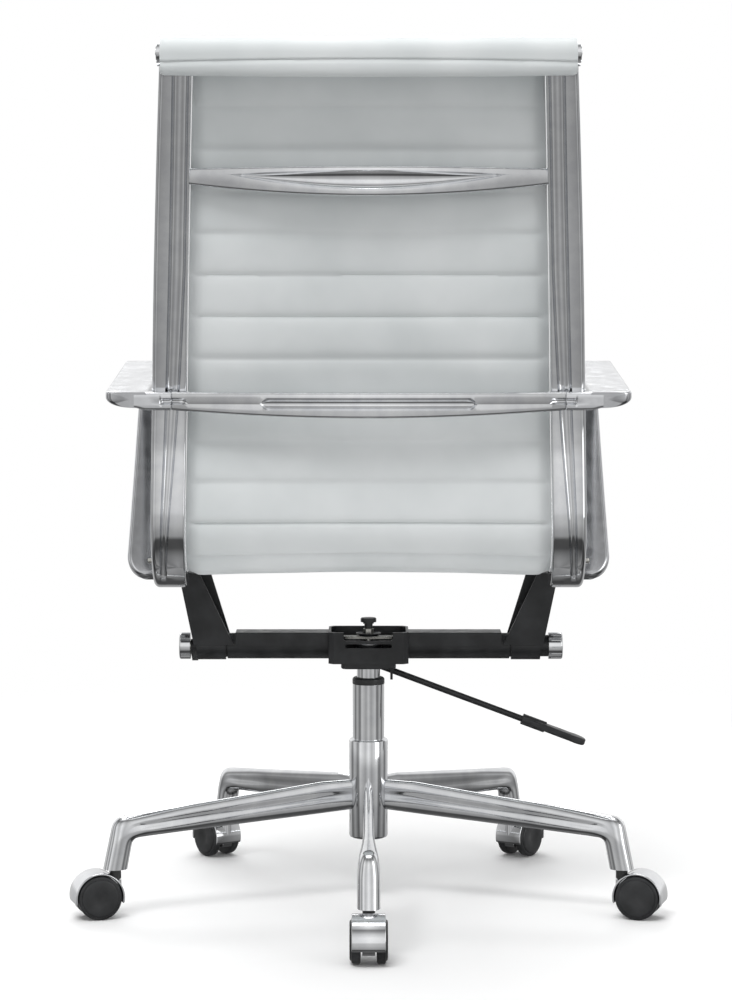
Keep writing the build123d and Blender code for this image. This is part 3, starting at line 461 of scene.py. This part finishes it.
PAD_SECTION, PAD_HEIGHTS = (212, 236, -19, 19, 3), (400.0, 410.0)
EYE_R = 14.5
BARS = {"top": (303.0, 1000.0, 192.0, 226.5, 227.0), "front": (-292.0, 441.0, 209.5, 246.5, 247.0)}


def ahead(tangent):
    """Direction from the rail's centreline towards the sitter."""
    return Vector((-tangent.y, tangent.x))


def rail_section(z, depth):
    """(across, depth) points of the rail at a height: rounded, with a groove in its rear face."""
    low, high = arc_value(RAIL_INNER, z), arc_value(RAIL_OUTER, z)
    groove_low = max(arc_value(GROOVE_INNER, z), low + GROOVE_INNER_LAND)
    groove_high = min(arc_value(GROOVE_OUTER, z), high - GROOVE_OUTER_LAND)
    groove_low = min(groove_low, groove_high - GROOVE_LEAST)
    r = RAIL_FRONT_CORNER
    front = corner_points(high - r, RAIL_HALF - r, r, 0) + corner_points(low + r, RAIL_HALF - r, r, 90)
    r = RAIL_INNER_CORNER
    rear_inner = corner_points(low + r, r - RAIL_HALF, r, 180)
    groove = []
    for i in range(GROOVE_STEPS + 1):
        t = i / GROOVE_STEPS
        hollow = (1 - abs(2 * t - 1) ** 7) * (0.72 + 0.28 * math.sin(math.pi * t))
        groove.append((mix(groove_low, groove_high, t), depth * hollow - RAIL_HALF))
    r = RAIL_OUTER_CORNER
    rear_outer = corner_points(high - r, r - RAIL_HALF, r, 270)
    return front + rear_inner + groove + rear_outer


def make_rail(name, side):
    path = rounded_path(RAIL_CORNERS, RAIL_RADII, RAIL_STEP)
    rings = []
    for point, tangent in zip(path, tangents(path)):
        normal = ahead(tangent)
        y, z = point
        depth = GROOVE_DEPTH * smoothstep(z, *GROOVE_LOW_END) * smoothstep(y, *GROOVE_BEND_END)
        depth = max(depth * (1 - smoothstep(z, *GROOVE_TOP_END)), LEAST_DEPTH)
        section = rail_section(max(z, RAIL_BEND_Z), depth)
        rings.append([(side * x, y + normal.x * n, z + normal.y * n) for x, n in section])
    bm = bmesh.new()
    add_loft(bm, rings)
    for y, z, shoulder, eye_end, _ in BARS.values():
        reach = eye_end - shoulder
        profile = [(0, EYE_R - 1), (1, EYE_R), (reach - 1.5, EYE_R), (reach - 0.5, EYE_R - 1)]
        add_lathe(bm, profile, (side * (shoulder + 0.5), y, z), (side, 0, 0))
    pad = rounded_section(*PAD_SECTION)
    add_loft(bm, [[(side * x, y, z) for x, y in pad] for z in PAD_HEIGHTS])
    dress(finish_mesh(f"{name}_rail_casting", bm), "seat", "polished_aluminium", f"side_rail_{name}")


# ---------------------------------------------------------------- arms and spreaders
ARM_PATH = [(229, 617.5), (-132, 648), (0, 393.5)]
ARM_SEAM_X, ARM_INNER, ARM_OUTER = 222.0, 250.0, 296.5
WING_Y, WING_TOP, WING_LOW = 210.5, 626.5, 606.0
WING_END, WING_END_LOW = 264.0, 608.6
WING_DEPTH = 19
WING_STATIONS = (
    ARM_SEAM_X, ARM_SEAM_X + 0.8, 226, 229, 231, 232.5, 234, 235.2, 236, ARM_INNER, 254, 258, 261, WING_END,
)
ARM_BEND, ARM_STEP, ARM_HALF = 36, 2.5, 9.0
STRUT_LINE, STRUT_HEAD, ARM_TOP_Z = [(283.5, 598), (286.5, 520), (291, 418)], 600.0, 636
# Values for the strut and for the arm's top: height of the lens, radius of the upper edge, reach of the lens.
LENS_HEIGHT, UPPER_EDGE, LENS_REACH, LENS_STEPS = (6.0, 11.0), (6.0, 2.2), (6.0, 24.0), 8
ARM_END_START, ARM_END_RADIUS, ARM_INNER_TOP, ARM_INNER_LOW = 7, 12, 2.5, 5
FOOT_TOP, FOOT_LOW, FOOT_CURVE = 418.0, 393.0, 24.0
FOOT_PROFILE, FOOT_START, FOOT_Z = [(0, 9.5), (1, 11), (13, 11)], ARM_INNER - 2.5, 413
SEAM_RECESS = (620.0, 612.0, 4.0)
SCOOP_STEPS, SCOOP_POWER, SPREADER_CORNER = 14, 2.4, 3.2
SPREADER_STATIONS = 120
SEAM_RECESS_INNER, SEAM_RECESS_OUTER = 205.0, 236.0


def strut_outer(z):
    """Outer edge of the strut, curving in to a rounded foot."""
    below = min(max((FOOT_TOP - z) / (FOOT_TOP - FOOT_LOW), 0.0), 1.0)
    return arc_value(STRUT_LINE, z) - FOOT_CURVE * (1 - math.sqrt(1 - below * below))


def arm_section(y, z, top_share):
    """Half-lens section of the arm's top, turning into the strut's rounded bar."""
    outer = mix(strut_outer(min(z, STRUT_LINE[0][1])), ARM_OUTER, top_share)
    rear = max(0.0, y - (WING_Y + ARM_END_START))
    if rear:
        outer -= ARM_END_RADIUS - math.sqrt(max(ARM_END_RADIUS**2 - rear * rear, 0.0))
    lens_height, edge, reach = (mix(*pair, top_share) for pair in (LENS_HEIGHT, UPPER_EDGE, LENS_REACH))
    r = ARM_INNER_TOP
    top = corner_points(outer - edge, ARM_HALF - edge, edge, 0)
    top += corner_points(ARM_INNER + r, ARM_HALF - r, r, 90)
    r = ARM_INNER_LOW
    bottom = corner_points(ARM_INNER + r, r - ARM_HALF, r, 180)
    lens = []
    for i in range(LENS_STEPS + 1):
        a = math.radians(270 + 90 * i / LENS_STEPS)
        lens.append((outer - reach + reach * math.cos(a), -ARM_HALF + lens_height * (1 + math.sin(a))))
    return top + bottom + lens


def make_arm(name, side):
    """One loop: the top wraps behind the rail, and the strut comes back to a foot on the seat rail."""
    path = rounded_path(ARM_PATH, [ARM_BEND], ARM_STEP)
    rings = []
    for point, tangent in zip(path, tangents(path)):
        normal = Vector((tangent.y, -tangent.x))
        y, z = point
        share = smoothstep(z, STRUT_HEAD, ARM_TOP_Z) if y < 1 else 1.0
        rings.append([(side * x, y + normal.x * n, z + normal.y * n) for x, n in arm_section(y, z, share)])
    bm = bmesh.new()
    add_loft(bm, rings)
    wing = []
    recess_top, recess_low, recess_depth = SEAM_RECESS
    for x in WING_STATIONS:
        inset = 0.8 if x == ARM_SEAM_X else 0.0
        dip = recess_depth * (1 - smoothstep(x, SEAM_RECESS_OUTER - 5, SEAM_RECESS_OUTER))
        wing_low = mix(WING_LOW, WING_END_LOW, smoothstep(x, ARM_INNER, WING_END)) + inset
        near, far = WING_Y + inset, WING_Y + WING_DEPTH - inset
        section = spreader_section(WING_TOP - inset, wing_low, near, far, recess_top, recess_low, dip)
        wing.append([(side * x, y, z) for y, z in section])
    add_loft(bm, wing)
    add_lathe(bm, FOOT_PROFILE, (side * FOOT_START, 0, FOOT_Z), (side, 0, 0))
    piece = finish_mesh(f"{name}_arm_casting", bm)
    dress(piece, "seat", "polished_aluminium", f"arm_{name}", look="satin_aluminium")


def spreader_section(top, bottom, near, far, recess_top, recess_bottom, depth):
    """(y, z) points of a spreader: rounded, with a scooped recess in its rear face."""
    r = min(SPREADER_CORNER, (top - bottom) / 2 - 0.5)
    front = corner_points(near + r, bottom + r, r, 180)
    rear_low = corner_points(far - r, bottom + r, r, 270)
    rear_high = corner_points(far - r, top - r, r, 0)
    front_high = corner_points(near + r, top - r, r, 90)
    scoop = []
    for i in range(SCOOP_STEPS + 1):
        t = i / SCOOP_STEPS
        z = mix(recess_bottom, recess_top, t)
        dip = depth * (1 - abs(2 * t - 1) ** SCOOP_POWER)
        scoop.append((far - dip, z))
    return front + rear_low + scoop + rear_high + front_high


def make_spreader(name, half, bow_ends, bow_middle, thick, edges, recess, node):
    """Bar across the chair, bowed to the rear, its edges and its recess given by functions of x."""
    rings = []
    for i in range(SPREADER_STATIONS + 1):
        x = mix(-half, half, i / SPREADER_STATIONS)
        middle = mix(bow_middle, bow_ends, (x / half) ** 2)
        top, bottom = edges(x / half)
        recess_top, recess_bottom, depth = recess(x)
        near, far = middle - thick / 2, middle + thick / 2
        section = spreader_section(top, bottom, near, far, recess_top, recess_bottom, depth)
        rings.append([(x, y, z) for y, z in section])
    bm = bmesh.new()
    add_loft(bm, rings)
    dress(finish_mesh(name, bm), "seat", "polished_aluminium", node)


# Heights in the middle and at the ends of each spreader and of the upper one's recess.
UPPER_TOP, UPPER_LOW, LOWER_LOW = (878.5, 876), (845, 858), (597, WING_LOW)
UPPER_RECESS_TOP, UPPER_RECESS_LOW, UPPER_RECESS_HALF, UPPER_RECESS_DEPTH = (873.5, 869), (852, 869), 155, 5.0
LOWER_RECESS_Z, LOWER_RECESS_R, LOWER_RECESS_HALF, LOWER_RECESS_DEPTH = 613, 7, 113, 5.5


def upper_edges(t):
    return mix(*UPPER_TOP, t * t), mix(*UPPER_LOW, t * t)


def upper_recess(x):
    t = min(abs(x) / UPPER_RECESS_HALF, 1.0)
    high = mix(*UPPER_RECESS_TOP, t * t)
    low = mix(*UPPER_RECESS_LOW, t * t)
    return max(high, low + 0.2), low, UPPER_RECESS_DEPTH * smoothstep(1 - t, 0.0, 0.1)


def lower_edges(t):
    return WING_TOP, mix(*LOWER_LOW, t * t)


def lower_recess(x):
    """Long recess in the middle, and the near half of the small one across the seam with the arm."""
    if abs(x) > SEAM_RECESS_INNER:
        recess_top, recess_low, depth = SEAM_RECESS
        return recess_top, recess_low, depth * smoothstep(abs(x), SEAM_RECESS_INNER, SEAM_RECESS_INNER + 5)
    end = max(0.0, abs(x) - LOWER_RECESS_HALF)
    reach = math.sqrt(max(LOWER_RECESS_R**2 - end * end, 0.01))
    depth = LOWER_RECESS_DEPTH if end < LOWER_RECESS_R else LEAST_DEPTH
    return LOWER_RECESS_Z + reach, LOWER_RECESS_Z - reach, depth


# ---------------------------------------------------------------- sling
CHANNEL, SEAM_HEIGHT = 47.5, 474.0
SLING_NEAR, SLING_FAR = 4.0, 14.0
# How far each face sinks at a seam, rises in a channel and moves at the pad's edge.
REAR_SEAM, REAR_PUFF, REAR_EDGE = 2.4, 5.2, 0.6
FRONT_SEAM, FRONT_PUFF, FRONT_EDGE = 3.4, 5.4, 1.2
PUFF_WANDER, EDGE_SHARE, BEND_LIFT, UPPER_PUFF = 0.5, 0.07, 6.0, 0.85
HEM_SPREAD, HEM_END, CREASE_MIDDLE, CREASE_BOW, CREASE_DEPTH, CREASE_SPREAD = 30, 0.55, -38, 9, 2.2, 4.0
SLING_STEP, SLING_TRIM, SLING_ACROSS, SLING_GAP = 3.0, 8, 72, 0.35
ROLL_RADIUS, ROLL_STATIONS, ROLL_SEGMENTS = 17.4, 100, 96


PUFF_SKEW, PUFF_FLATNESS, PUFF_ROUNDNESS = 0.85, 2.6, 0.55
LIFT_START, LIFT_END, UPPER_BACK = (60, 170), (430, 620), (600, 850)
ROLL_END_SHARE, ROLL_TUCK = 0.93, 3.0


def puff(t):
    """Height of a padded channel, 0 at the seams and 1 just above its middle."""
    return (1 - abs(2 * t**PUFF_SKEW - 1) ** PUFF_FLATNESS) ** PUFF_ROUNDNESS


def make_sling():
    """Padded leather between the rails: two faces sewn into channels, flat where they meet each rail."""
    path = rounded_path(RAIL_CORNERS, RAIL_RADII, SLING_STEP)[SLING_TRIM:-SLING_TRIM]
    along = tangents(path)
    across = SLING_ACROSS
    bm = bmesh.new()
    faces = {}
    lengths = [0.0]
    for a, b in zip(path, path[1:]):
        lengths.append(lengths[-1] + (b - a).length)
    anchor = min((abs(z - SEAM_HEIGHT), length) for (y, z), length in zip(path, lengths) if y > 100)[1]
    for i, (point, tangent) in enumerate(zip(path, along)):
        normal = ahead(tangent)
        y, z = point
        width = arc_value(RAIL_INNER, max(z, 395)) - SLING_GAP
        lift = BEND_LIFT * smoothstep(y, *LIFT_START) * (1 - smoothstep(z, *LIFT_END))
        channel = puff(((lengths[i] - anchor) / CHANNEL) % 1.0)
        channel *= mix(1.0, UPPER_PUFF, smoothstep(z, *UPPER_BACK))
        for j in range(across + 1):
            u = 2 * j / across - 1
            x = width * u
            edge = smoothstep(1 - abs(u), 0.0, EDGE_SHARE)
            wander = 0.5 * math.sin(x * 0.021 + i * 0.13) + 0.35 * math.sin(x * 0.05 - i * 0.21)
            rise = lift * (1 - u * u)
            rear_puff = (REAR_PUFF + PUFF_WANDER * wander) * channel * edge
            front_puff = (FRONT_PUFF + PUFF_WANDER * wander) * channel * edge
            rear = SLING_NEAR + REAR_SEAM - rear_puff + REAR_EDGE * (1 - edge)
            front = SLING_FAR - FRONT_SEAM + front_puff - FRONT_EDGE * (1 - edge)
            for key, n in (("rear", rear + rise), ("front", front + rise)):
                faces[key, i, j] = bm.verts.new(Vector((x, y + normal.x * n, z + normal.y * n)) * MM)
    last = len(path) - 1
    for i in range(last):
        for j in range(across):
            for key in ("rear", "front"):
                bm.faces.new([faces[key, a, b] for a, b in ((i, j), (i + 1, j), (i + 1, j + 1), (i, j + 1))])
        for j in (0, across):
            around = (("rear", i), ("rear", i + 1), ("front", i + 1), ("front", i))
            bm.faces.new([faces[key, a, j] for key, a in around])
    for i in (0, last):
        for j in range(across):
            around = (("rear", j), ("rear", j + 1), ("front", j + 1), ("front", j))
            bm.faces.new([faces[key, i, b] for key, b in around])
    piece = dress(finish_mesh("sling_pad", bm, sharp=60), "seat", "white_leather", "sling")


def make_roll(name, key, lip, lip_angle):
    """Leather wrapped round a bar, with a folded hem below it whose crease bows up in the middle."""
    y0, z0, _, _, end = BARS[key]
    rings = []
    for i in range(ROLL_STATIONS + 1):
        x = mix(-end, end, i / ROLL_STATIONS)
        t = x / end
        tuck = smoothstep(end - abs(x), 0.0, ROLL_TUCK)
        ring = []
        for k in range(ROLL_SEGMENTS):
            a = 2 * math.pi * k / ROLL_SEGMENTS
            turn = (math.degrees(a) - lip_angle + 180) % 360 - 180
            hem = lip * math.exp(-((turn / HEM_SPREAD) ** 2)) * mix(HEM_END, 1.0, 1 - 0.4 * t * t)
            crease_at = CREASE_MIDDLE + CREASE_BOW * t * t
            notch = CREASE_DEPTH * math.exp(-(((turn - crease_at) / CREASE_SPREAD) ** 2))
            radius = (ROLL_RADIUS + hem - notch * (lip > 0)) * mix(ROLL_END_SHARE, 1.0, tuck)
            ring.append((x, y0 + radius * math.cos(a), z0 - radius * math.sin(a)))
        rings.append(ring)
    bm = bmesh.new()
    add_loft(bm, rings)
    piece = dress(finish_mesh(name, bm, sharp=60), "seat", "white_leather")


# ---------------------------------------------------------------- base and casters
STEM_RADIUS, CASTER_TRAIL, WHEEL_R = 315.0, 22.0, 26.0
LEG_TOP = [(15, 148), (60, 147), (316, 118), (329, 57)]
LEG_LOW = [(15, 112), (70, 108), (294, 93), (301, 57)]
LEG_TOP_RADII, LEG_LOW_RADII, LEG_STATIONS, LEG_SEGMENTS = [30, 16], [30, 9], 90, 40
WAIST_DEPTH, WAIST_AT, WAIST_SPREAD, LEG_SQUARENESS = 0.22, 0.05, 0.3, 0.75
HUB_PROFILE = [(0, 20), (1, 22.3), (3, 23.3), (118, 23.3), (119.5, 22.8), (120.5, 21.6), (120.5, 19.05)]
HUB_LOW = 76.5
FIRST_LEG, LEG_PITCH = 90, 72
# Half width of a leg at its root, in the middle and at its tip, and where it changes.
LEG_WIDTHS, LEG_TAPER, LEG_FLARE, LEG_ROUND_END = (6.5, 7.5, 13.0), (15, 200), (210, 318), (270, 312)
HOOD_HALF, HOOD_INNER, HOOD_OUTER, HOOD_CORNER, HOOD_INSET = 18.9, 27.3, 29.5, 1.0, 0.5
HOOD_ARC, HOOD_STEPS = (-14, 194), 52
WEB_ARC, WEB_STEPS, WEB_R = (-26, 206), 40, 27.4
WEB_STATIONS = ((-7.3, 0.6), (-6.7, 0.0), (6.7, 0.0), (7.3, 0.6))
BOSS_PROFILE, BOSS_LOW = [(0, 6.5), (0.8, 7.3), (20.2, 7.3), (20.9, 6.6)], 24


def turned(angle):
    a = math.radians(angle)
    return Vector((math.cos(a), math.sin(a), 0)), Vector((math.sin(a), -math.cos(a), 0))


def leg_half_width(x):
    root, middle, tip = LEG_WIDTHS
    return mix(mix(root, middle, smoothstep(x, *LEG_TAPER)), tip, smoothstep(x, *LEG_FLARE))


def even(points, count):
    """A fixed number of points along a path."""
    length = sum((b - a).length for a, b in zip(points, points[1:]))
    return resample(points, length / count)


def make_star_base():
    """Five cast legs round a hub, each rounded on top, waisted, and round where the stem enters."""
    top = even(rounded_path(LEG_TOP, LEG_TOP_RADII, 1.0), LEG_STATIONS)
    low = even(rounded_path(LEG_LOW, LEG_LOW_RADII, 1.0), LEG_STATIONS)
    bm = bmesh.new()
    for number in range(5):
        out, side = turned(FIRST_LEG + LEG_PITCH * number)
        rings = []
        for upper, under in zip(top, low):
            middle, half = (upper + under) / 2, (upper - under) / 2
            width = leg_half_width(middle.x)
            round_end = smoothstep(middle.x, *LEG_ROUND_END)
            ring = []
            for k in range(LEG_SEGMENTS):
                a = 2 * math.pi * k / LEG_SEGMENTS
                up, wide = math.cos(a), math.sin(a)
                waist = 1 - WAIST_DEPTH * (1 - round_end) * math.exp(-((up - WAIST_AT) / WAIST_SPREAD) ** 2)
                wide = math.copysign(abs(wide) ** LEG_SQUARENESS, wide) * waist
                spot = middle + half * up
                ring.append(out * spot.x + side * (width * wide) + Vector((0, 0, spot.y)))
            rings.append(ring)
        add_loft(bm, rings)
    add_lathe(bm, HUB_PROFILE, (0, 0, HUB_LOW), (0, 0, 1), segments=96)
    dress(finish_mesh("star_base_casting", bm), "base", "polished_aluminium", "star_base")


def make_wheel(number, name, side):
    out, across = turned(FIRST_LEG + LEG_PITCH * (number - 1))
    axis = across * side
    centre = out * (STEM_RADIUS + CASTER_TRAIL) + Vector((0, 0, WHEEL_R))
    profile = [(8.75, 3.05), (8.75, 23.0)]
    profile += [(11.15 - 2.4 * math.cos(a), 23.6 + 2.4 * math.sin(a)) for a in (0.3, 0.7, 1.1, 1.57)]
    profile += [(16.85 + 2.4 * math.sin(a), 23.6 + 2.4 * math.cos(a)) for a in (0.0, 0.4, 0.8, 1.2, 1.57)]
    profile += [(19.3, 22.6), (20.4, 22.2), (21.0, 21.2), (21.25, 20.0)]
    profile += [(21.2, 9.0), (20.9, 8.2), (20.9, 1.0)]
    bm = bmesh.new()
    add_lathe(bm, profile, centre, axis, segments=72)
    wheel = finish_mesh(f"caster_{number}_{name}_roller", bm)
    dress(wheel, f"caster_{number}_{name}", "black_plastic", f"caster_{number}_wheel_{name}")


def make_hood(number):
    """Chrome hood: a curved shell over both wheels, a web between them and the boss round the stem."""
    out, across = turned(FIRST_LEG + LEG_PITCH * (number - 1))
    up = Vector((0, 0, 1))
    centre = out * (STEM_RADIUS + CASTER_TRAIL) + up * WHEEL_R
    bm = bmesh.new()
    rings = []
    for i in range(HOOD_STEPS + 1):
        a = math.radians(mix(*HOOD_ARC, i / HOOD_STEPS))
        ray = out * math.cos(a) + up * math.sin(a)
        inset = HOOD_INSET if i in (0, HOOD_STEPS) else 0.0
        half = HOOD_HALF - inset
        section = rounded_section(-half, half, HOOD_INNER + inset, HOOD_OUTER - inset, HOOD_CORNER)
        rings.append([centre + across * t + ray * r for t, r in section])
    add_loft(bm, rings)
    web = []
    for t, shrink in WEB_STATIONS:
        ring = []
        for i in range(WEB_STEPS + 1):
            a = math.radians(mix(*WEB_ARC, i / WEB_STEPS))
            ring.append(centre + across * t + (out * math.cos(a) + up * math.sin(a)) * (WEB_R - shrink))
        web.append(ring)
    add_loft(bm, web)
    add_lathe(bm, BOSS_PROFILE, out * STEM_RADIUS + up * BOSS_LOW, (0, 0, 1), segments=48)
    dress(finish_mesh(f"caster_{number}_fork", bm), f"caster_{number}", "chrome", f"caster_{number}_hood")


# ---------------------------------------------------------------- everything
dress_cad_nodes()
make_camera()
bpy.context.scene.view_settings.view_transform = "Standard"
make_world()
for light_name, settings in LIGHTS.items():
    make_light(light_name, *settings)
make_stage()

for side_name, side_sign in (("left", 1), ("right", -1)):
    make_rail(side_name, side_sign)
    make_arm(side_name, side_sign)
make_spreader(
    "upper_cross_piece", half=200.0, bow_ends=253.5, bow_middle=268.5, thick=11.0,
    edges=upper_edges, recess=upper_recess, node="upper_spreader",
)
make_spreader(
    "lower_cross_piece", half=221.8, bow_ends=218.5, bow_middle=232.5, thick=13.0,
    edges=lower_edges, recess=lower_recess, node="lower_spreader",
)
make_sling()
make_roll("top_roll", "top", lip=11.5, lip_angle=66)
make_roll("front_roll", "front", lip=0.0, lip_angle=0)
make_star_base()
for caster in range(1, 6):
    make_hood(caster)
    make_wheel(caster, "left", 1)
    make_wheel(caster, "right", -1)
